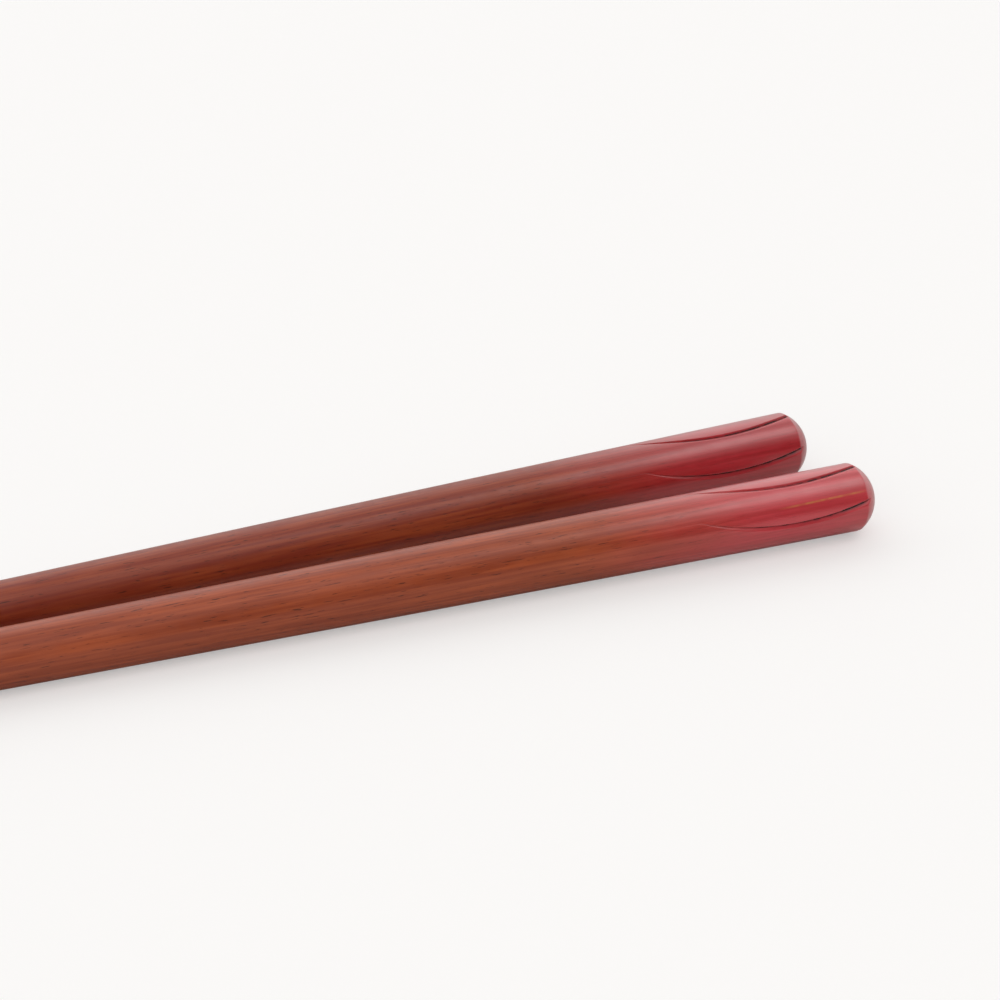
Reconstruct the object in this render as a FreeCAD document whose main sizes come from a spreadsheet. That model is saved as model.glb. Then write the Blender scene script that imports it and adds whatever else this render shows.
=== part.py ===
import FreeCAD, Part
import math
import os
import Sketcher
from FreeCAD import Matrix, Placement, Rotation, Vector

# A pair of turned wooden chopsticks, lacquered, lying side by side with their eating tips together.
# Each stick is one piece of wood: a thick head with a domed end, an even taper and a fine tip.
# Five curved cuts run round each head, so that it looks like a flower bud of folded petals.
# Stick frame: origin at the top of the dome, +Z out of the head, so the stick lies along -Z.
# Row frame: the pair lies on z = 0, heads towards +X, the front stick on the -Y side.

# The driving dimensions, in millimetres and degrees.
SIZES = {
    # One stick, turned about its long axis. Distances run from the top of the dome.
    # Its taper swells very slightly halfway, and there it touches the table.
    "stick_length": 215,
    "head_radius": 3.88,
    "dome_radius": 4.34,
    "shoulder_round": 0.4,
    "neck_distance": 30,
    "neck_radius": 3.68,
    "upper_body_distance": 62,
    "upper_body_radius": 3.4,
    "lower_body_distance": 97,
    "lower_body_radius": 3.04,
    "waist_distance": 130,
    "waist_radius": 2.66,
    "tip_radius": 1.3,
    "tip_dome": 0.8,
    # The petals: curved cuts, each an arc when the head's skin is laid flat.
    "petal_count": 5,
    "petal_length": 22.8,
    "petal_swell": 11.1,
    "petal_arc_radius": 33,
    "cut_depth": 0.26,
    "cut_clearance": 0.25,
    "wall_slope": 0.5,
    "lip_slope": 1.7,
    # How the two sticks lie together: both rolled alike, each with its petals further round.
    "head_spacing": 15.84,
    "tip_spacing": 2.9,
    "back_lead": 0.5,
    "stick_roll": 47.14,
    "front_petal_turn": 42.06,
    "back_petal_turn": 44.16,
}

# Where a cut's section is drawn, as shares of the petal's length from the head end.
# The first lies past the petal's point, where the cut has left the wood.
CUT_STATIONS = (1.02, 0.95, 0.85, 0.72, 0.57, 0.42, 0.27, 0.14, 0.02)
# A cut keeps its depth for most of its way and then fades out: depth falls with this power.
CUT_FADE = 6

# The corners of the outline from the eating tip's taper up to the head.
SIDE_CORNERS = ("waist", "lower_body", "upper_body", "neck")
# How far a sketched arc first bows out, as a share of its chord: round ends, and the tip's long side.
ROUND_BOW = 0.1
SIDE_BOW = 0.003
# Half the width a cut's section is first sketched at, in radians about the stick.
FIRST_HALF_WIDTH = 0.12


def make_sheet(doc):
    """One named cell for each driving dimension."""
    sheet = doc.addObject("Spreadsheet::Sheet", "Sizes")
    for row, (name, value) in enumerate(SIZES.items(), start=1):
        sheet.set(f"A{row}", name)
        sheet.set(f"B{row}", str(value))
        sheet.setAlias(f"B{row}", name)
    doc.recompute()
    return sheet


def new_sketch(body, name, role):
    """An empty sketch on one of the body's own base planes."""
    sketch = body.newObject("Sketcher::SketchObject", name)
    plane = next(f for f in body.Origin.OriginFeatures if f.Role == role)
    sketch.AttachmentSupport = [(plane, "")]
    sketch.MapMode = "FlatFace"
    return sketch


def bind(sketch, constraint, rule):
    """Adds a constraint and ties its value to the sheet."""
    index = sketch.addConstraint(constraint)
    sketch.setExpression(f"Constraints[{index}]", rule)


def join(sketch, edge, following):
    """The end of one edge meets the start of the next."""
    sketch.addConstraint(Sketcher.Constraint("Coincident", edge, 2, following, 1))


def arc_between(start, end, bow):
    """An arc that bows out from its chord by this share of the chord's length."""
    along = end - start
    middle = (start + end) / 2 + Vector(along.y, -along.x, 0) * bow
    return Part.Arc(start, middle, end)


def place_corner(sketch, edge, corner, radius, distance):
    """An edge starts at this radius, and this far below the top of the dome."""
    across = Sketcher.Constraint("DistanceX", -1, 1, edge, 1, corner.x)
    bind(sketch, across, f"Sizes.{radius}")
    down = Sketcher.Constraint("DistanceY", edge, 1, -1, 1, -corner.y)
    bind(sketch, down, f"Sizes.{distance}")


def draw_outline(body, size):
    """Half of the stick's outline, from the eating tip up the side to the head's dome."""
    top = Vector(0, 0, 0)
    tip = Vector(0, -size.stick_length, 0)
    tip_edge = Vector(size.tip_radius, size.tip_dome - size.stick_length, 0)
    corners = [
        Vector(getattr(size, f"{name}_radius"), -getattr(size, f"{name}_distance"), 0)
        for name in SIDE_CORNERS
    ]
    dome_centre = Vector(0, -size.dome_radius, 0)
    ease_across = size.head_radius - size.shoulder_round
    ease_up = math.sqrt((size.dome_radius - size.shoulder_round) ** 2 - ease_across**2)
    to_ease = Vector(ease_across, ease_up, 0)
    shoulder = dome_centre + to_ease + Vector(size.shoulder_round, 0, 0)
    dome_edge = dome_centre + to_ease.normalize() * size.dome_radius

    sketch = new_sketch(body, "outline", "XZ_Plane")
    tip_arc = sketch.addGeometry(arc_between(tip, tip_edge, ROUND_BOW))
    tip_side = sketch.addGeometry(arc_between(tip_edge, corners[0], SIDE_BOW))
    sides = [
        sketch.addGeometry(Part.LineSegment(start, end))
        for start, end in zip(corners, corners[1:] + [shoulder])
    ]
    ease_arc = sketch.addGeometry(arc_between(shoulder, dome_edge, ROUND_BOW))
    dome_arc = sketch.addGeometry(arc_between(dome_edge, top, ROUND_BOW))
    axis = sketch.addGeometry(Part.LineSegment(top, tip))

    for edge, following in ((tip_side, sides[0]), (sides[-1], ease_arc), (ease_arc, dome_arc)):
        sketch.addConstraint(Sketcher.Constraint("Tangent", edge, 2, following, 1))
    for edge, following in zip(sides, sides[1:]):
        join(sketch, edge, following)
    for edge, following in ((dome_arc, axis), (axis, tip_arc), (tip_arc, tip_side)):
        join(sketch, edge, following)
    sketch.addConstraint(Sketcher.Constraint("Coincident", axis, 1, -1, 1))
    sketch.addConstraint(Sketcher.Constraint("PointOnObject", axis, 2, -2))
    for arc in (tip_arc, dome_arc):
        sketch.addConstraint(Sketcher.Constraint("PointOnObject", arc, 3, -2))
    length = Sketcher.Constraint("DistanceY", axis, 2, axis, 1, size.stick_length)
    bind(sketch, length, "Sizes.stick_length")
    place_corner(sketch, tip_side, tip_edge, "tip_radius", "stick_length - Sizes.tip_dome")
    for side, corner, name in zip(sides, corners, SIDE_CORNERS):
        place_corner(sketch, side, corner, f"{name}_radius", f"{name}_distance")
    width = Sketcher.Constraint("DistanceX", -1, 1, sides[-1], 2, shoulder.x)
    bind(sketch, width, "Sizes.head_radius")
    bind(sketch, Sketcher.Constraint("Radius", ease_arc, size.shoulder_round), "Sizes.shoulder_round")
    bind(sketch, Sketcher.Constraint("Radius", dome_arc, size.dome_radius), "Sizes.dome_radius")
    return sketch


def turn_stick(body, size):
    """The plain turned stick."""
    outline = draw_outline(body, size)
    turned = body.newObject("PartDesign::Revolution", "turned")
    turned.Profile = outline
    turned.ReferenceAxis = (outline, ["V_Axis"])
    turned.Angle = 360
    body.Document.recompute()
    if not outline.FullyConstrained:
        raise RuntimeError(f"{body.Label}: the outline can still move")
    return turned


def cut_rules(share, turn):
    """Rules for one station of a cut: its place along the stick and its three corners.
    The steep wall is on the side of the petal whose edge this is, the long lip on its neighbour's.
    The petal's edge swells to the turn, an angle about the stick."""
    place = f"(Sizes.petal_length * {share})"
    skin = (
        "(Sizes.head_radius - (Sizes.head_radius - Sizes.neck_radius)"
        f" * {place} / Sizes.neck_distance)"
    )
    depth = f"(Sizes.cut_depth * (1 - {share} ^ {CUT_FADE}))"
    swing = (
        f"({turn} - ({place} - Sizes.petal_swell) ^ 2"
        " / (2 * Sizes.petal_arc_radius * Sizes.head_radius) * 180 / pi)"
    )
    reach = f"({depth} + Sizes.cut_clearance)"
    wall = f"({swing} - Sizes.wall_slope * {reach} / {skin} * 180 / pi)"
    lip = f"({swing} + Sizes.lip_slope * {reach} / {skin} * 180 / pi)"
    outside = f"({skin} + Sizes.cut_clearance)"
    corners = ((f"({skin} - {depth})", swing), (outside, lip), (outside, wall))
    return place, corners


def draw_station(body, size, index, share, turn):
    """The three-cornered section of a cut at one station, across the stick.
    It is first drawn near the middle of the petal's edge, and its rules then move it into place."""
    place, corners = cut_rules(share, f"Sizes.{turn}")
    sketch = new_sketch(body, f"cut_station_{index}", "XY_Plane")
    sketch.setExpression(".AttachmentOffset.Base.z", f"-{place}")
    middle = math.radians(getattr(size, turn))
    outside = size.head_radius + size.cut_clearance
    starts = [
        Vector(radius * math.cos(angle), radius * math.sin(angle), 0)
        for radius, angle in (
            (size.head_radius - size.cut_depth, middle),
            (outside, middle + FIRST_HALF_WIDTH),
            (outside, middle - FIRST_HALF_WIDTH),
        )
    ]
    for start, end in zip(starts, starts[1:] + starts[:1]):
        sketch.addGeometry(Part.LineSegment(start, end))
    for i, (start, (radius, angle)) in enumerate(zip(starts, corners)):
        join(sketch, i, (i + 1) % len(corners))
        across = Sketcher.Constraint("DistanceX", -1, 1, i, 1, start.x)
        bind(sketch, across, f"{radius} * cos({angle})")
        up = Sketcher.Constraint("DistanceY", -1, 1, i, 1, start.y)
        bind(sketch, up, f"{radius} * sin({angle})")
    return sketch


def carve_petals(body, size, turn):
    """One curved cut lofted through its stations, then repeated round the head."""
    stations = [
        draw_station(body, size, index, share, turn)
        for index, share in enumerate(CUT_STATIONS, start=1)
    ]
    body.Document.recompute()
    cut = body.newObject("PartDesign::SubtractiveLoft", "petal_cut")
    cut.Profile = stations[0]
    cut.Sections = stations[1:]
    body.Document.recompute()
    petals = body.newObject("PartDesign::PolarPattern", "petals")
    petals.Originals = [cut]
    petals.Axis = (stations[0], ["N_Axis"])
    petals.Angle = 360
    petals.setExpression("Occurrences", "Sizes.petal_count")
    body.Tip = petals
    body.Document.recompute()
    return petals


def lay_down(size, side, lead):
    """Where a stick lies: the middle of its body on the table, its tip turned in towards the other's."""
    shrinks = size.upper_body_radius - size.lower_body_radius
    taper = shrinks / (size.lower_body_distance - size.upper_body_distance)
    slope = math.atan(taper)
    turn_in = math.asin((size.head_spacing - size.tip_spacing) / 2 / size.stick_length)
    axis_height = (size.upper_body_radius + taper * size.upper_body_distance) / math.cos(slope)
    reach = size.stick_length * math.cos(slope) * math.cos(turn_in)
    out_of_head = Vector(
        math.cos(slope) * math.cos(turn_in),
        side * math.cos(slope) * math.sin(turn_in),
        math.sin(slope),
    )
    top_side = Vector(0, 0, 1) - out_of_head * out_of_head.z
    top_side.normalize()
    near_side = out_of_head.cross(top_side)
    lie = Matrix(
        top_side.x, near_side.x, out_of_head.x, 0,
        top_side.y, near_side.y, out_of_head.y, 0,
        top_side.z, near_side.z, out_of_head.z, 0,
        0, 0, 0, 1,
    )
    rolled = Rotation(Vector(0, 0, 1), size.stick_roll)
    head = Vector((reach - size.back_lead) / 2 + lead, side * size.head_spacing / 2, axis_height)
    return Placement(head, Placement(lie).Rotation * rolled)


def make_stick(doc, size, name, side, lead):
    """One whole stick, turned, carved and laid down."""
    body = doc.addObject("PartDesign::Body", f"{name}_chopstick")
    body.Label = f"{name}_chopstick"
    plain_volume = turn_stick(body, size).Shape.Volume
    petals = carve_petals(body, size, f"{name}_petal_turn")
    if not petals.Shape.Volume < plain_volume:
        raise RuntimeError(f"{body.Label}: the petal cuts remove nothing")
    body.Placement = lay_down(size, side, lead)
    return body


def check(doc, bodies):
    """Stops before anything is written if a feature failed or a stick isn't one sound solid."""
    for item in doc.Objects:
        if {"Invalid", "Error"} & set(item.State):
            raise RuntimeError(f"{item.Name} is {item.State}")
    for body in bodies:
        shape = body.Shape
        if shape.isNull() or not shape.isValid() or len(shape.Solids) != 1:
            raise RuntimeError(f"{body.Label} isn't one valid solid")


doc = FreeCAD.newDocument("chopsticks")
size = make_sheet(doc)
bodies = [
    make_stick(doc, size, "front", -1, 0),
    make_stick(doc, size, "back", 1, size.back_lead),
]
doc.recompute()
check(doc, bodies)
os.makedirs("parts", exist_ok=True)
for body in bodies:
    body.Shape.exportStep(f"parts/{body.Label}.step")
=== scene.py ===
import math

import bpy
import numpy as np
from mathutils import Matrix, Vector


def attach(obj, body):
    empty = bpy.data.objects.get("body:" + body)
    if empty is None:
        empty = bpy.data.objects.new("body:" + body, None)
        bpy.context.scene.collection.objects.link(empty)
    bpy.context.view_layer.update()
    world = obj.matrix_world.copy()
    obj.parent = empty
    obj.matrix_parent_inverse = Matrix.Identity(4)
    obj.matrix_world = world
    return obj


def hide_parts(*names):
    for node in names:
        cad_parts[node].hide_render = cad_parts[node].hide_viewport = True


# A pair of lacquered wooden chopsticks on a white table, heads towards +X and tips together.
# Each is one stick of hardwood, turned, carved at the head like a bud of five folded petals,
# and finished in wiped lacquer: orange-brown along the body and crimson at the head.

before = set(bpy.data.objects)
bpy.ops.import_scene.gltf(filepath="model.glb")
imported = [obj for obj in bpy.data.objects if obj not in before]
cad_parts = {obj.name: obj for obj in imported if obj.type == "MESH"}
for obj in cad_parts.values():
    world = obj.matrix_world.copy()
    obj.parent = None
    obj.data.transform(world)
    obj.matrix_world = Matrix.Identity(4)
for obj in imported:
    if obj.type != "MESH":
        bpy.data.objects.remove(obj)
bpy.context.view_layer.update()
MM = 0.001  # lengths are given in millimetres, and the scene is in metres


# The camera
# It stands about 23 cm from the heads and looks down on them by 25 degrees, from the tips' side.
# Only the upper half of the sticks is in view: the tips lie outside the picture on the left.
camera_data = bpy.data.cameras.new("camera")
camera_data.sensor_width = 36
camera_data.lens = 79.2
camera_data.clip_start = 10 * MM
camera = bpy.data.objects.new("camera", camera_data)
camera.location = Vector((-21.08, -197.37, 108.13)) * MM
camera_heading = math.radians(23.62)
camera_down = math.radians(25.0)
camera.rotation_euler = (math.pi / 2 - camera_down, 0, -camera_heading)
bpy.context.scene.collection.objects.link(camera)
bpy.context.scene.camera = camera
bpy.context.scene.view_settings.view_transform = "Standard"


# The table and the light
# A sheet of matt white board in a white room. The light is strongest high behind the sticks, half
# as strong overhead, and missing low on the near right, which a glossy stick shows as its own deep
# colour. One small lamp hangs overhead, a little to the right.
TABLE_HALF = 2000 * MM
ROOM_WHITE = "#fdfcfb"
BOARD_GREY = "#cfcecc"  # what the board throws back at the sticks
BARE_SHARE = 0.42  # how much of the seen board is plain white, so that its shadows stay pale
# The room's light, where 1 is white.
HORIZON_LIGHT = 0.75
BEHIND_LIGHT = 1.35
OVERHEAD_LIGHT = 0.6
NEAR_LIGHT = 0.05
LEFT_LIGHT = 1.35
FAR_RIGHT_SHARE = 0.6  # of the light on the left
LAMP_LIGHT = 2.2
LAMP_WAY = (0.47, -0.2, 0.86)
# The lamp is full within the first angle from its middle, and gone at the second.
LAMP_FULL = math.radians(6.5)
LAMP_GONE = math.radians(16.9)


def linear(colour):
    """A colour written in sRGB hex, as linear red, green, blue and full opacity."""
    parts = [int(colour[i : i + 2], 16) / 255 for i in (1, 3, 5)]
    return (*(c / 12.92 if c <= 0.04045 else ((c + 0.055) / 1.055) ** 2.4 for c in parts), 1)


def add(tree, kind, inputs=None, out=0, **settings):
    """One node with its settings, its inputs from values or sockets. Returns one of its outputs."""
    node = tree.nodes.new(kind)
    for name, value in settings.items():
        setattr(node, name, value)
    for socket, value in (inputs or {}).items():
        if isinstance(value, bpy.types.NodeSocket):
            tree.links.new(value, node.inputs[socket])
        else:
            node.inputs[socket].default_value = value
    return node.outputs[out] if node.outputs else None


def white_board():
    """Matt coated board: seen as almost pure white, and a little greyer in what it throws back."""
    material = bpy.data.materials.new("white_board")
    material.use_nodes = True
    tree = material.node_tree
    board = tree.nodes["Principled BSDF"]
    straight = add(tree, "ShaderNodeLightPath", out="Is Camera Ray")
    colours = {0: straight, 6: linear(BOARD_GREY), 7: linear(ROOM_WHITE)}
    colour = add(tree, "ShaderNodeMix", colours, 2, data_type="RGBA")
    tree.links.new(colour, board.inputs["Base Color"])
    board.inputs["Roughness"].default_value = 0.9
    board.inputs["Specular IOR Level"].default_value = 0.1
    plain = add(tree, "ShaderNodeEmission", {"Color": linear(ROOM_WHITE), "Strength": 1.0})
    bare = add(tree, "ShaderNodeMath", {0: straight, 1: BARE_SHARE}, operation="MULTIPLY")
    seen = add(tree, "ShaderNodeMixShader", {0: bare, 1: board.outputs[0], 2: plain})
    tree.links.new(seen, tree.nodes["Material Output"].inputs["Surface"])
    return material


table_mesh = bpy.data.meshes.new("table")
table_mesh.from_pydata(
    [(x * TABLE_HALF, y * TABLE_HALF, 0) for x, y in ((-1, -1), (1, -1), (1, 1), (-1, 1))],
    [],
    [(0, 1, 2, 3)],
)
table_mesh.materials.append(white_board())
table = bpy.data.objects.new("table", table_mesh)
bpy.context.scene.collection.objects.link(table)

room = bpy.data.worlds.new("room")
room.use_nodes = True
bpy.context.scene.world = room
tree = room.node_tree
tree.nodes.clear()
way = add(tree, "ShaderNodeTexCoord", out="Generated")
parts = add(tree, "ShaderNodeSeparateXYZ", {"Vector": way}, out="X").node
near = add(tree, "ShaderNodeMath", {0: parts.outputs["Y"], 1: -1.0}, operation="MULTIPLY")
# The angle from straight up, towards the near side, and how far a direction points to the right.
lean = add(tree, "ShaderNodeMath", {0: near, 1: parts.outputs["Z"]}, operation="ARCTAN2")
right = parts.outputs["X"]
bands = {
    "behind": (lean, math.radians(-85), math.radians(-55), HORIZON_LIGHT, BEHIND_LIGHT),
    "overhead": (lean, math.radians(-42), math.radians(-8), 1.0, OVERHEAD_LIGHT / BEHIND_LIGHT),
    "near": (lean, math.radians(38), math.radians(56), 1.0, NEAR_LIGHT),
    "low": (lean, math.radians(0), math.radians(60), 0.0, LEFT_LIGHT),
    "left": (right, 0.1, -0.25, 0.0, 1.0),
    "far_right": (right, 0.7, 0.9, 0.0, FAR_RIGHT_SHARE),
}
# Each band's light goes smoothly from one level to another while the measure crosses its range.
level = {}
for place, (value, start, end, from_level, to_level) in bands.items():
    level[place] = add(
        tree,
        "ShaderNodeMapRange",
        {"Value": value, "From Min": start, "From Max": end, "To Min": from_level, "To Max": to_level},
        interpolation_type="SMOOTHSTEP",
    )
ceiling = add(tree, "ShaderNodeMath", {0: level["behind"], 1: level["overhead"]}, operation="MULTIPLY")
ceiling = add(tree, "ShaderNodeMath", {0: ceiling, 1: level["near"]}, operation="MULTIPLY")
sides = add(tree, "ShaderNodeMath", {0: level["left"], 1: level["far_right"]}, operation="ADD")
ceiling = add(tree, "ShaderNodeMath", {0: sides, 1: level["low"], 2: ceiling}, operation="MULTIPLY_ADD")
to_lamp = tuple(Vector(LAMP_WAY).normalized())
facing = add(tree, "ShaderNodeVectorMath", {0: way, 1: to_lamp}, out="Value", operation="DOT_PRODUCT")
lamp = add(
    tree,
    "ShaderNodeMapRange",
    {
        "Value": facing,
        "From Min": math.cos(LAMP_GONE),
        "From Max": math.cos(LAMP_FULL),
        "To Max": LAMP_LIGHT,
    },
    interpolation_type="SMOOTHSTEP",
)
light = add(tree, "ShaderNodeMath", {0: ceiling, 1: lamp}, operation="ADD")
lit = add(tree, "ShaderNodeBackground", {"Color": linear(ROOM_WHITE), "Strength": light})
seen = add(tree, "ShaderNodeBackground", {"Color": linear(ROOM_WHITE), "Strength": 1.0})
straight = add(tree, "ShaderNodeLightPath", out="Is Camera Ray")
either = add(tree, "ShaderNodeMixShader", {0: straight, 1: lit, 2: seen})
add(tree, "ShaderNodeOutputWorld", {"Surface": either})


# One chopstick
# A stick of hardwood turned in a lathe: a thick head with a shallow dome, a long taper with a very
# slight swell, and a finer eating tip. It is turned first, as a plain blank, and carved afterwards.
# These are the solids' own sizes, in millimetres from the top of the dome.
STICK_LENGTH = 215
HEAD_RADIUS = 3.88
DOME_RADIUS = 4.34
SHOULDER_ROUND = 0.4
NECK_DISTANCE = 30
NECK_RADIUS = 3.68
UPPER_BODY_DISTANCE = 62
UPPER_BODY_RADIUS = 3.4
LOWER_BODY_DISTANCE = 97
LOWER_BODY_RADIUS = 3.04
WAIST_DISTANCE = 130
WAIST_RADIUS = 2.66
TIP_RADIUS = 1.3
TIP_DOME = 0.8
# How many points draw each part of the outline.
DOME_POINTS = 18
EASE_POINTS = 7
TIP_SIDE_POINTS = 30
TIP_DOME_POINTS = 8
HEAD_STEPS = 114
UPPER_STEPS = 14
MIDDLE_STEPS = 14
LOWER_STEPS = 13
# How far from the axis the outline starts and ends, as an angle about the dome's centre.
DOME_GAP = 0.04
TIP_GAP = 0.08


def arc(centre, radius, start, end, count):
    """Points on an arc of the outline. Angles run from the stick's end towards its side."""
    angles = np.linspace(start, end, count)
    return [(centre[0] - radius * math.cos(a), centre[1] + radius * math.sin(a)) for a in angles]


def head_outline():
    """The dome and its eased shoulder, as (distance from the head's end, radius)."""
    ease_across = HEAD_RADIUS - SHOULDER_ROUND
    ease_up = math.sqrt((DOME_RADIUS - SHOULDER_ROUND) ** 2 - ease_across**2)
    edge = math.atan2(ease_across, ease_up)
    dome = arc((DOME_RADIUS, 0), DOME_RADIUS, DOME_GAP, edge, DOME_POINTS)
    ease_centre = (DOME_RADIUS - ease_up, ease_across)
    ease = arc(ease_centre, SHOULDER_ROUND, edge, math.pi / 2, EASE_POINTS)
    return dome + ease[1:]


def tip_outline():
    """The tip's side, which leaves the taper smoothly and curves in, and its small dome."""
    shrinks = LOWER_BODY_RADIUS - WAIST_RADIUS
    taper = math.atan(shrinks / (WAIST_DISTANCE - LOWER_BODY_DISTANCE))
    run = STICK_LENGTH - TIP_DOME - WAIST_DISTANCE
    chord = math.hypot(run, WAIST_RADIUS - TIP_RADIUS)
    bend = math.atan((WAIST_RADIUS - TIP_RADIUS) / run) - taper
    side = []
    for turned in np.linspace(0, 2 * bend, TIP_SIDE_POINTS)[1:]:
        reach = chord * math.sin(turned / 2) / math.sin(bend)
        heading = taper + turned / 2
        side.append((WAIST_DISTANCE + reach * math.cos(heading), WAIST_RADIUS - reach * math.sin(heading)))
    dome_radius = (TIP_RADIUS**2 + TIP_DOME**2) / (2 * TIP_DOME)
    dome_centre = (STICK_LENGTH - dome_radius, 0)
    edge = math.pi - math.asin(TIP_RADIUS / dome_radius)
    dome = arc(dome_centre, dome_radius, edge, math.pi - TIP_GAP, TIP_DOME_POINTS)
    return side + dome[1:]


def turned_outline():
    """The whole outline from the head to the tip, without its two ends on the axis."""
    outline = head_outline()
    corners = (
        (NECK_DISTANCE, NECK_RADIUS, HEAD_STEPS),
        (UPPER_BODY_DISTANCE, UPPER_BODY_RADIUS, UPPER_STEPS),
        (LOWER_BODY_DISTANCE, LOWER_BODY_RADIUS, MIDDLE_STEPS),
        (WAIST_DISTANCE, WAIST_RADIUS, LOWER_STEPS),
    )
    for distance, radius, steps in corners:
        start, start_radius = outline[-1]
        for share in np.linspace(0, 1, steps + 1)[1:]:
            along = start + share * (distance - start)
            outline.append((along, start_radius + share * (radius - start_radius)))
    return outline + tip_outline()


# The petals
# Five curved cuts run round each head. A cut has a steep wall on its own petal's side and a long
# lip on the next petal, swells round the stick, and fades out where the petal begins.
PETALS = 5
PETAL_LENGTH = 22.8
PETAL_SWELL = 11.1
PETAL_ARC_RADIUS = 33
CUT_DEPTH = 0.26
WALL_SLOPE = 0.5
LIP_SLOPE = 1.7
CUT_FADE = 6.0  # the power its depth falls with
LEAST_WIDTH = 0.1  # the share of their width that a cut's columns keep where it has faded out
CUT_SOFTNESS = 0.05  # the lacquer rounds the cuts' edges by about this much
EVEN_FROM = 3 * PETAL_LENGTH  # from here on the blank's columns stand evenly round the body
# Columns of the blank beside a cut's bottom line, in millimetres where the cut is full depth.
WALL_COLUMNS = (-0.24, -0.18, -0.14, -0.11, -0.06)
LIP_COLUMNS = (0.0, 0.06, 0.15, 0.26, 0.36, 0.43, 0.5, 0.6)
PLAIN_COLUMNS = 14


def column_table():
    """For each column of the blank: its lane in petals round the stick, and its offset beside a cut."""
    columns = []
    for petal in range(PETALS):
        columns += [(petal, beside) for beside in WALL_COLUMNS + LIP_COLUMNS]
        for share in np.linspace(0, 1, PLAIN_COLUMNS + 2)[1:-1]:
            beside = LIP_COLUMNS[-1] + share * (WALL_COLUMNS[0] - LIP_COLUMNS[-1])
            columns.append((petal + share, beside))
    return columns


def blank_mesh(name):
    """The turned blank as rings and columns, closed at both ends. The carving moves its points."""
    outline = turned_outline()
    columns = column_table()
    width = len(columns)
    rows = [(distance, radius, lane, beside, i / width)
            for distance, radius in outline
            for i, (lane, beside) in enumerate(columns)]
    rows.append((0, 0, 0, 0, 0))
    rows.append((STICK_LENGTH, 0, 0, 0, 0))
    top, bottom = len(rows) - 2, len(rows) - 1
    faces = []
    for i in range(width):
        j = (i + 1) % width
        faces.append((top, i, j))
        for ring in range(len(outline) - 1):
            a, b = ring * width, (ring + 1) * width
            faces.append((a + i, b + i, b + j, a + j))
        last = (len(outline) - 1) * width
        faces.append((bottom, last + j, last + i))
    mesh = bpy.data.meshes.new(name)
    mesh.from_pydata([(0, 0, 0)] * len(rows), [], faces)
    for index, attribute in enumerate(("along", "skin", "lane", "beside", "even")):
        layer = mesh.attributes.new(attribute, "FLOAT", "POINT")
        layer.data.foreach_set("value", [row[index] for row in rows])
    return mesh


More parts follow.
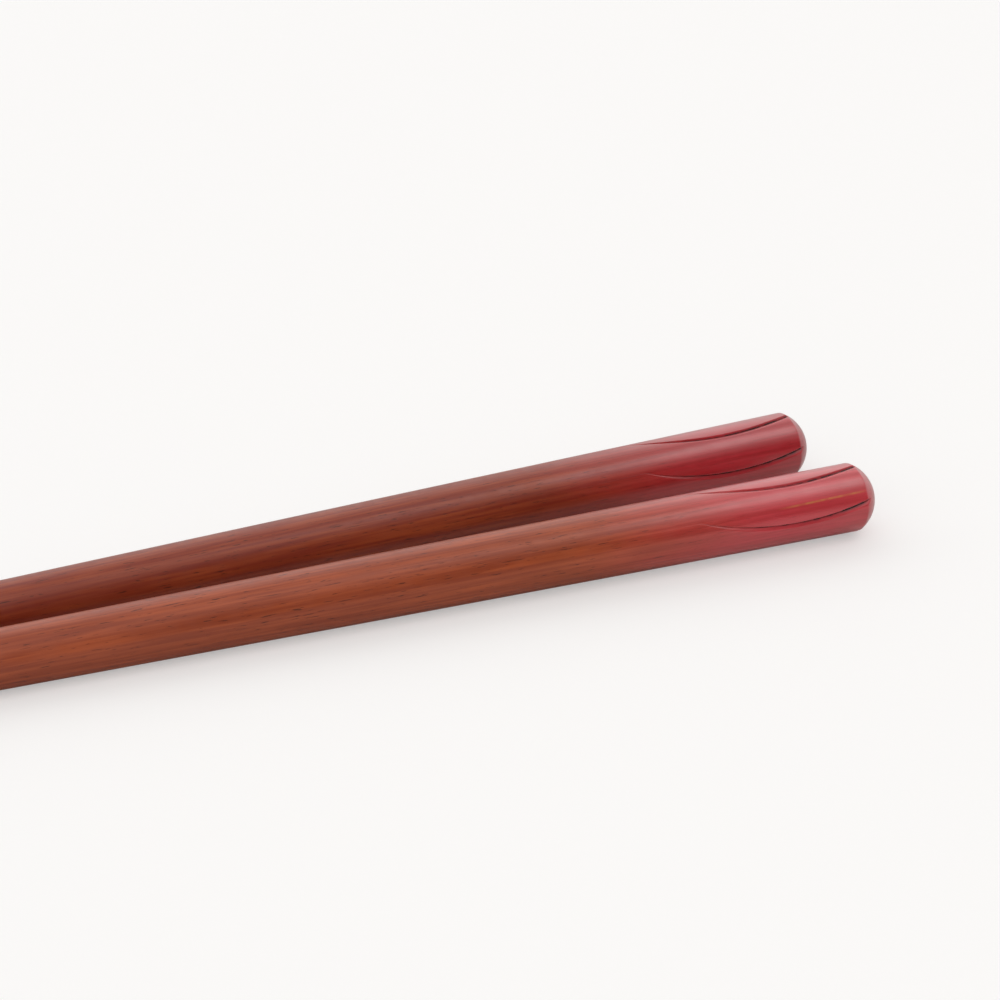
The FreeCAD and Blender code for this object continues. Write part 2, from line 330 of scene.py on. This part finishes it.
def carving_tree():
    """Moves the blank's columns along the petals' edges and cuts the petals into it."""
    tree = bpy.data.node_groups.new("carve_petals", "GeometryNodeTree")
    face = tree.interface
    face.new_socket("Geometry", in_out="INPUT", socket_type="NodeSocketGeometry")
    for name in ("Petals", "Petal length", "Swell distance", "Arc radius", "Cut depth", "Wall slope",
                 "Lip slope", "Softness", "Head radius", "Neck radius", "Neck distance", "Roll"):
        face.new_socket(name, in_out="INPUT", socket_type="NodeSocketFloat")
    face.new_socket("Lacquer", in_out="INPUT", socket_type="NodeSocketMaterial")
    face.new_socket("Geometry", in_out="OUTPUT", socket_type="NodeSocketGeometry")
    given = tree.nodes.new("NodeGroupInput").outputs
    along, skin, lane, beside, even = (
        add(tree, "GeometryNodeInputNamedAttribute", {"Name": name}, data_type="FLOAT")
        for name in ("along", "skin", "lane", "beside", "even")
    )
    # The head's side, carried on past the dome, is what the cuts are measured from.
    head_radius, neck_radius = given["Head radius"], given["Neck radius"]
    shrinks = add(tree, "ShaderNodeMath", {0: head_radius, 1: neck_radius}, operation="SUBTRACT")
    taper = add(tree, "ShaderNodeMath", {0: shrinks, 1: given["Neck distance"]}, operation="DIVIDE")
    lost = add(tree, "ShaderNodeMath", {0: taper, 1: along}, operation="MULTIPLY")
    side = add(tree, "ShaderNodeMath", {0: head_radius, 1: lost}, operation="SUBTRACT")
    # A cut keeps its depth for most of its way and then fades out.
    length = given["Petal length"]
    share = add(tree, "ShaderNodeMath", {0: along, 1: length}, operation="DIVIDE", use_clamp=True)
    faded = add(tree, "ShaderNodeMath", {0: share, 1: CUT_FADE}, operation="POWER")
    left = add(tree, "ShaderNodeMath", {0: 1.0, 1: faded}, operation="SUBTRACT")
    depth = add(tree, "ShaderNodeMath", {0: given["Cut depth"], 1: left}, operation="MULTIPLY")
    width = add(tree, "ShaderNodeMath", {0: left, 1: LEAST_WIDTH}, operation="MAXIMUM")
    # The petal's edge is an arc on the unrolled skin: it swings round the stick and back.
    held = add(tree, "ShaderNodeMath", {0: along, 1: length}, operation="MINIMUM")
    off = add(tree, "ShaderNodeMath", {0: held, 1: given["Swell distance"]}, operation="SUBTRACT")
    squared = add(tree, "ShaderNodeMath", {0: off, 1: off}, operation="MULTIPLY")
    bend = add(tree, "ShaderNodeMath", {0: given["Arc radius"], 1: head_radius}, operation="MULTIPLY")
    both_sides = add(tree, "ShaderNodeMath", {0: bend, 1: 2.0}, operation="MULTIPLY")
    swing = add(tree, "ShaderNodeMath", {0: squared, 1: both_sides}, operation="DIVIDE")
    # Columns beside a cut keep to it. On the plain body they spread out evenly.
    petal_angle = add(tree, "ShaderNodeMath", {0: 2 * math.pi, 1: given["Petals"]}, operation="DIVIDE")
    offset = add(tree, "ShaderNodeMath", {0: beside, 1: width}, operation="MULTIPLY")
    aside = add(tree, "ShaderNodeMath", {0: offset, 1: side}, operation="DIVIDE")
    angle = add(tree, "ShaderNodeMath", {0: lane, 1: petal_angle, 2: aside}, operation="MULTIPLY_ADD")
    even_angle = add(tree, "ShaderNodeMath", {0: even, 1: 2 * math.pi}, operation="MULTIPLY")
    spread = add(
        tree,
        "ShaderNodeMapRange",
        {"Value": along, "From Min": PETAL_LENGTH, "From Max": EVEN_FROM},
        interpolation_type="SMOOTHSTEP",
    )
    angle = add(tree, "ShaderNodeMix", {0: spread, 2: angle, 3: even_angle}, data_type="FLOAT")
    swung = add(tree, "ShaderNodeMath", {0: angle, 1: swing}, operation="SUBTRACT")
    turned = add(tree, "ShaderNodeMath", {0: swung, 1: given["Roll"]}, operation="ADD")
    # The cut's two slopes meet at its bottom line, and the skin ends where they rise through it.
    petal_width = add(tree, "ShaderNodeMath", {0: petal_angle, 1: side}, operation="MULTIPLY")
    nearest = add(tree, "ShaderNodeMath", {0: lane, 1: 0.5, 2: -0.5}, operation="WRAP")
    fold = add(tree, "ShaderNodeMath", {0: nearest, 1: petal_width, 2: offset}, operation="MULTIPLY_ADD")
    back = add(tree, "ShaderNodeMath", {0: fold, 1: -1.0}, operation="MULTIPLY")
    wall = add(tree, "ShaderNodeMath", {0: back, 1: given["Wall slope"]}, operation="DIVIDE")
    lip = add(tree, "ShaderNodeMath", {0: fold, 1: given["Lip slope"]}, operation="DIVIDE")
    rise = add(tree, "ShaderNodeMath", {0: wall, 1: lip}, operation="MAXIMUM")
    bottom = add(tree, "ShaderNodeMath", {0: side, 1: depth}, operation="SUBTRACT")
    cut = add(tree, "ShaderNodeMath", {0: bottom, 1: rise}, operation="ADD")
    radius = add(tree, "ShaderNodeMath", {0: skin, 1: cut, 2: given["Softness"]}, operation="SMOOTH_MIN")
    below = add(tree, "ShaderNodeMath", {0: skin, 1: radius}, operation="SUBTRACT")
    sunk = add(tree, "ShaderNodeMath", {0: below, 1: given["Cut depth"]}, operation="DIVIDE")
    cosine = add(tree, "ShaderNodeMath", {0: turned}, operation="COSINE")
    sine = add(tree, "ShaderNodeMath", {0: turned}, operation="SINE")
    across = add(tree, "ShaderNodeMath", {0: radius, 1: cosine}, operation="MULTIPLY")
    up = add(tree, "ShaderNodeMath", {0: radius, 1: sine}, operation="MULTIPLY")
    down = add(tree, "ShaderNodeMath", {0: along, 1: -1.0}, operation="MULTIPLY")
    place = add(tree, "ShaderNodeCombineXYZ", {"X": across, "Y": up, "Z": down})
    small = add(tree, "ShaderNodeVectorMath", {0: place, "Scale": MM}, operation="SCALE")
    # The lacquer's pattern is fixed in the wood, so each point keeps its place in the stick.
    kept = given["Geometry"]
    for name, value, data_type in (("in_wood", place, "FLOAT_VECTOR"), ("sunk", sunk, "FLOAT")):
        kept = add(
            tree,
            "GeometryNodeStoreNamedAttribute",
            {"Geometry": kept, "Name": name, "Value": value},
            data_type=data_type,
            domain="POINT",
        )
    carved = add(tree, "GeometryNodeSetPosition", {"Geometry": kept, "Position": small})
    whole = add(tree, "GeometryNodeRealizeInstances", {"Geometry": carved})
    lacquered = add(tree, "GeometryNodeSetMaterial", {"Geometry": whole, "Material": given["Lacquer"]})
    add(tree, "NodeGroupOutput", {"Geometry": lacquered})
    return tree


# The lacquer
# Transparent red-brown lacquer wiped into close-grained hardwood and polished: the eye gets the
# wood's own orange through it, fine dark pores along the grain, and a soft, hazy gloss. The head
# has had more coats with red in them, which stand thicker and shine. The black in the cuts is
# pooled lacquer, darkened further as painted shade, and a golden line on one head is a painted highlight.
OPEN_PORE = "#2c0d08"
# Pooled lacquer for the cuts, darkened further as painted shade of their walls.
POOLED_LACQUER_AND_SHADE = "#240507"
# A painted highlight: the golden glint along one petal of the front head.
PAINTED_GLINT_COLOUR = "#cc7a44"
# Where a painted highlight, a golden glint, lies along one petal of the head: a line from one place
# to another, as millimetres from the head's end and degrees from the top of the stick.
STREAK_START = (3.0, 56.0)
STREAK_END = (13.0, 59.5)
# Noise in the wood, as its features' width and length in millimetres, and its detail.
GRAIN = {
    "fibres": (0.35, 14, 4.0),
    "clouds": (2.5, 9, 2.0),
    "ripple": (1.6, 1.3, 2.0),
    "pores": (0.13, 1.6, 2.0),
    "clots": (1.1, 1.1, 2.0),
}
RED_COATS_START = 45
RED_COATS_FULL = 16
RED_EDGE_RAGGED = 10.0  # how far the red coats' edge runs up and down the grain
FILLED_PORES = 0.75  # the share of the pores that the red coats fill
CUT_ROUGHER = 0.3  # the cuts are this much duller than the skin
RIPPLED_ROUGHNESS = (0.3, 0.38)
COAT_ROUGHNESS = 0.28
LACQUER_IOR = 1.5
FELT_GRAIN = 0.02 * MM
FELT_STRENGTH = 0.25


def wood_noise(tree, in_wood, shift):
    """The noise in one stick's wood, by name."""
    noise = {}
    for kind, (across, lengthwise, detail) in GRAIN.items():
        stretched = add(
            tree,
            "ShaderNodeMapping",
            {
                "Vector": in_wood,
                "Location": (shift, shift, shift),
                "Scale": (1 / across, 1 / across, 1 / lengthwise),
            },
        )
        settings = {"Vector": stretched, "Scale": 1.0, "Detail": detail}
        noise[kind] = add(tree, "ShaderNodeTexNoise", settings)
    return noise


def beside_glint_line(tree, in_wood, along):
    """How far round the stick a place is from the painted highlight's line, as an angle."""
    parts = add(tree, "ShaderNodeSeparateXYZ", {"Vector": in_wood}, out="X").node.outputs
    around = add(tree, "ShaderNodeMath", {0: parts["Y"], 1: parts["X"]}, operation="ARCTAN2")
    glint_line = add(
        tree,
        "ShaderNodeMapRange",
        {
            "Value": along,
            "From Min": STREAK_START[0],
            "From Max": STREAK_END[0],
            "To Min": math.radians(STREAK_START[1]),
            "To Max": math.radians(STREAK_END[1]),
        },
    )
    aside = add(tree, "ShaderNodeMath", {0: around, 1: glint_line}, operation="SUBTRACT")
    return add(tree, "ShaderNodeMath", {0: aside}, operation="ABSOLUTE")


def lacquer_shares(tree, noise, in_wood, pooling_and_shade, glint_strength):
    """How much of each thing there is at a place. Every share goes smoothly from one number to
    another while a measure crosses a range."""
    along = add(tree, "ShaderNodeAttribute", out="Fac", attribute_name="along")
    sunk = add(tree, "ShaderNodeAttribute", out="Fac", attribute_name="sunk")
    ragged = {0: noise["clouds"], 1: RED_EDGE_RAGGED, 2: along}
    edge = add(tree, "ShaderNodeMath", ragged, operation="MULTIPLY_ADD")
    aside = beside_glint_line(tree, in_wood, along)
    ranges = {
        "beside_glint_line": (aside, 0.045, 0.012, 0.0, glint_strength),
        "glint_line_start": (along, STREAK_START[0] - 1, STREAK_START[0] + 1, 0.0, 1.0),
        "glint_line_end": (along, STREAK_END[0] + 1, STREAK_END[0] - 3, 0.0, 1.0),
        "near_end": (along, 15, 5, 0.0, 0.5),
        "dark_fibre": (noise["fibres"], 0.3, 0.7, 0.0, 1.0),
        "cloud": (noise["clouds"], 0.35, 0.7, 0.0, 0.5),
        "red": (edge, RED_COATS_START, RED_COATS_FULL, 0.0, 1.0),
        "pore": (noise["pores"], 0.62, 0.72, 0.0, 0.75),
        "in_cut": (sunk, 0.6, 0.9, 0.0, pooling_and_shade),
        "clot_edge": (sunk, 0.25, 0.6, 0.0, pooling_and_shade),
        "clot": (noise["clots"], 0.35, 0.6, 0.4, 1.0),
        "rough": (noise["ripple"], 0.3, 0.7, *RIPPLED_ROUGHNESS),
    }
    share = {}
    for kind, (value, low, high, to_low, to_high) in ranges.items():
        share[kind] = add(
            tree,
            "ShaderNodeMapRange",
            {"Value": value, "From Min": low, "From Max": high, "To Min": to_low, "To Max": to_high},
            interpolation_type="SMOOTHSTEP",
        )
    # Pores stay open on the body and are mostly filled on the head.
    filled = {0: share["red"], 1: -FILLED_PORES, 2: 1.0}
    unfilled = add(tree, "ShaderNodeMath", filled, operation="MULTIPLY_ADD")
    share["open_pore"] = add(tree, "ShaderNodeMath", {0: share["pore"], 1: unfilled}, operation="MULTIPLY")
    # The painted highlight, a golden glint along one line of the head, shows in a broken line.
    glint_mark = share["beside_glint_line"]
    for kind in ("glint_line_start", "glint_line_end", "clot"):
        glint_mark = add(tree, "ShaderNodeMath", {0: glint_mark, 1: share[kind]}, operation="MULTIPLY")
    share["glint_mark"] = glint_mark
    # Lacquer collects in the cuts, and in wider clots towards the head's end. Its black there is
    # partly that lacquer and partly painted shade of the cuts' walls.
    line = add(tree, "ShaderNodeMath", {0: share["in_cut"], 1: share["clot"]}, operation="MULTIPLY")
    clots = share["near_end"]
    for kind in ("clot", "clot_edge"):
        clots = add(tree, "ShaderNodeMath", {0: clots, 1: share[kind]}, operation="MULTIPLY")
    both = {0: line, 1: clots}
    share["pooled_and_shade"] = add(tree, "ShaderNodeMath", both, operation="ADD", use_clamp=True)
    return share


def lacquer_colour(tree, share, body_colours, head_colours):
    """The wood's colour through the lacquer, lighter and darker along its fibres."""
    body_dark, body_light = (linear(colour) for colour in body_colours)
    head_dark, head_light = (linear(colour) for colour in head_colours)
    fibre = share["dark_fibre"]
    head = add(tree, "ShaderNodeMix", {0: fibre, 6: head_dark, 7: head_light}, 2, data_type="RGBA")
    colour = add(tree, "ShaderNodeMix", {0: fibre, 6: body_dark, 7: body_light}, 2, data_type="RGBA")
    layers = (
        ("cloud", body_dark),
        ("red", head),
        ("open_pore", linear(OPEN_PORE)),
        # A painted highlight: the golden glint on the front head.
        ("glint_mark", linear(PAINTED_GLINT_COLOUR)),
        # Pooled lacquer in the cuts, darkened further as painted shade.
        ("pooled_and_shade", linear(POOLED_LACQUER_AND_SHADE)),
    )
    for kind, over in layers:
        colour = add(tree, "ShaderNodeMix", {0: share[kind], 6: colour, 7: over}, 2, data_type="RGBA")
    return colour


def wiped_lacquer(name, body_colours, head_colours, shift, pooling_and_shade, glint_strength):
    """The finish of one stick. The shift moves its grain. Its cuts are darkened with pooled lacquer
    and painted shade, and one line on its head gets a painted highlight, each by more or less."""
    material = bpy.data.materials.new(name)
    material.use_nodes = True
    tree = material.node_tree
    shader = tree.nodes["Principled BSDF"]
    in_wood = add(tree, "ShaderNodeAttribute", out="Vector", attribute_name="in_wood")
    noise = wood_noise(tree, in_wood, shift)
    share = lacquer_shares(tree, noise, in_wood, pooling_and_shade, glint_strength)
    colour = lacquer_colour(tree, share, body_colours, head_colours)
    tree.links.new(colour, shader.inputs["Base Color"])
    # Polished to a soft gloss. The thick red coats shine more, and the cuts hardly at all.
    duller = {0: share["in_cut"], 1: CUT_ROUGHER, 2: share["rough"]}
    rough = add(tree, "ShaderNodeMath", duller, operation="MULTIPLY_ADD")
    tree.links.new(rough, shader.inputs["Roughness"])
    open_skin = add(tree, "ShaderNodeMath", {0: 1.0, 1: share["in_cut"]}, operation="SUBTRACT")
    coat = add(tree, "ShaderNodeMath", {0: share["red"], 1: open_skin}, operation="MULTIPLY")
    tree.links.new(coat, shader.inputs["Coat Weight"])
    shader.inputs["Coat Roughness"].default_value = COAT_ROUGHNESS
    shader.inputs["IOR"].default_value = LACQUER_IOR
    # The fibres and pores can just be felt through the lacquer.
    felt = add(tree, "ShaderNodeMath", {0: noise["fibres"], 1: share["open_pore"]}, operation="SUBTRACT")
    raised = {"Strength": FELT_STRENGTH, "Distance": FELT_GRAIN, "Height": felt}
    tree.links.new(add(tree, "ShaderNodeBump", raised), shader.inputs["Normal"])
    return material


# The two sticks
# They lie on the middle of their bodies, with their heads 16 mm apart and their tips together.
# Each is rolled about its own axis, so the petals of the two don't line up.
HEAD_SPACING = 15.84
TIP_SPACING = 2.9
BACK_LEAD = 0.5
FRONT_ROLL = 89.2
BACK_ROLL = 91.3
# Each stick's darker and lighter fibres, on the body and then on the head. The back stick's are
# darker as painted shade, for the front stick's shade that it lies in.
FRONT_COLOURS = (("#8e3c20", "#ae522d"), ("#b72d34", "#c93b44"))
BACK_COLOURS_PAINTED_SHADE = (("#802d1a", "#9c4625"), ("#a61a22", "#b7252f"))
BACK_SHIFT = 37.0  # moves the back stick's grain, so that the two differ


def lay_down(side, lead):
    """The stick's place on the table. In its own frame +Z points out of the head, +X up, +Y near."""
    taper = (UPPER_BODY_RADIUS - LOWER_BODY_RADIUS) / (LOWER_BODY_DISTANCE - UPPER_BODY_DISTANCE)
    slope = math.atan(taper)
    turn_in = math.asin((HEAD_SPACING - TIP_SPACING) / 2 / STICK_LENGTH)
    axis_height = (UPPER_BODY_RADIUS + taper * UPPER_BODY_DISTANCE) / math.cos(slope)
    reach = STICK_LENGTH * math.cos(slope) * math.cos(turn_in)
    out_of_head = Vector(
        (
            math.cos(slope) * math.cos(turn_in),
            side * math.cos(slope) * math.sin(turn_in),
            math.sin(slope),
        )
    )
    top_side = (Vector((0, 0, 1)) - out_of_head * out_of_head.z).normalized()
    near_side = out_of_head.cross(top_side)
    turned = Matrix((top_side, near_side, out_of_head)).transposed().to_4x4()
    head = Vector(((reach - BACK_LEAD) / 2 + lead, side * HEAD_SPACING / 2, axis_height)) * MM
    return Matrix.Translation(head) @ turned


def make_stick(node, side, lead, roll, material):
    """Turns a blank, carves it, and lays it where its solid is."""
    blank = bpy.data.objects.new("blank", blank_mesh("blank"))
    bpy.context.scene.collection.objects.link(blank)
    carving = blank.modifiers.new("carving", "NODES")
    carving.node_group = petal_carving
    wanted = {
        "Petals": float(PETALS),
        "Petal length": PETAL_LENGTH,
        "Swell distance": PETAL_SWELL,
        "Arc radius": float(PETAL_ARC_RADIUS),
        "Cut depth": CUT_DEPTH,
        "Wall slope": WALL_SLOPE,
        "Lip slope": LIP_SLOPE,
        "Softness": CUT_SOFTNESS,
        "Head radius": HEAD_RADIUS,
        "Neck radius": NECK_RADIUS,
        "Neck distance": float(NECK_DISTANCE),
        "Roll": math.radians(roll),
        "Lacquer": material,
    }
    for item in petal_carving.interface.items_tree:
        if item.in_out == "INPUT" and item.name in wanted:
            carving[item.identifier] = wanted[item.name]
    seen = blank.evaluated_get(bpy.context.evaluated_depsgraph_get())
    mesh = bpy.data.meshes.new_from_object(seen)
    bpy.data.objects.remove(blank)
    mesh.name = node + "_lacquered"
    mesh.transform(lay_down(side, lead))
    mesh.shade_smooth()
    stick = bpy.data.objects.new(node + "_lacquered", mesh)
    bpy.context.scene.collection.objects.link(stick)
    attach(stick, "root")
    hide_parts(node)
    return stick


petal_carving = carving_tree()
# The front head gets the painted highlight, and both sticks get painted shade in their cuts.
front_lacquer = wiped_lacquer("wiped_lacquer_front", *FRONT_COLOURS, 0.0, pooling_and_shade=0.75, glint_strength=0.75)
# The back stick's material is a darker copy of the front's, as painted shade.
back_lacquer_painted_shade = wiped_lacquer("wiped_lacquer_back_painted_shade", *BACK_COLOURS_PAINTED_SHADE, BACK_SHIFT, pooling_and_shade=0.95, glint_strength=0.0)
make_stick("front_chopstick", -1, 0, FRONT_ROLL, front_lacquer)
make_stick("back_chopstick", 1, BACK_LEAD, BACK_ROLL, back_lacquer_painted_shade)
